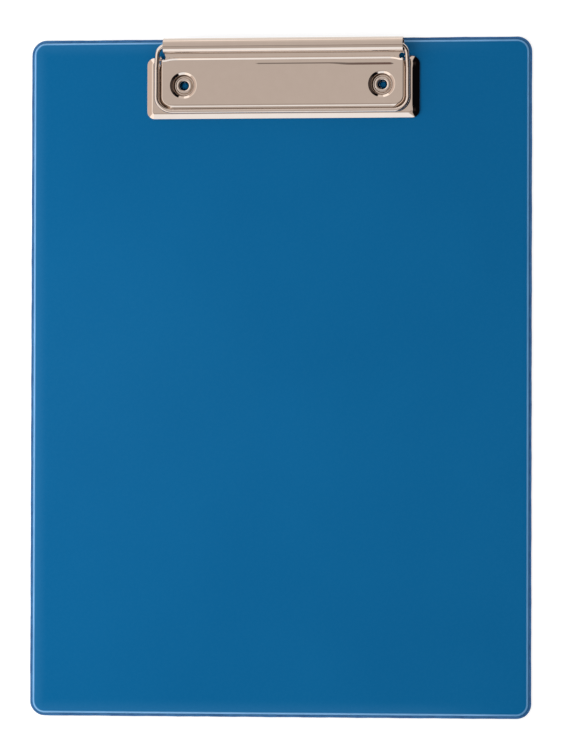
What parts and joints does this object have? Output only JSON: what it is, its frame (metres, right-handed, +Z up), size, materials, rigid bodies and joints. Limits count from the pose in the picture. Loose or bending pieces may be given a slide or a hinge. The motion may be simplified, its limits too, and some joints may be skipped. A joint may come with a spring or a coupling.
{
  "type": "clipboard",
  "caption": "Flat writing board sealed in plastic film, with a pressed metal clip plate whose wire bail swings over the top edge.",
  "frame": {"origin": "on the board's back face, under the middle of the board", "axes": "+X across the board to the right, +Y along the board towards the clip, +Z up out of the writing face"},
  "size_m": [0.235, 0.315, 0.0136],
  "materials": {
    "film": "semi-gloss blue plastic film, faintly grained",
    "greyboard": null,
    "nickel_plate": "bright nickel plating on pressed steel",
    "nickel_wire": "bright nickel plating on spring wire",
    "nickel_rivet": "bright nickel plating on a tubular rivet"
  },
  "bodies": {
    "board": {"front_film": "film", "back_film": "film", "board_core": "greyboard", "clip_plate": "nickel_plate", "rivet_left": "nickel_rivet", "rivet_right": "nickel_rivet", "slug_left": "film", "slug_right": "film"},
    "bail": {"wire_bail": "nickel_wire"}
  },
  "joints": [
    {"name": "bail_hinge", "type": "hinge", "parent": "board", "child": "bail", "pos_m": [0.0015, 0.1539, 0.0101], "axis": [-1, 0, 0], "range_deg": [0, 200]}
  ]
}
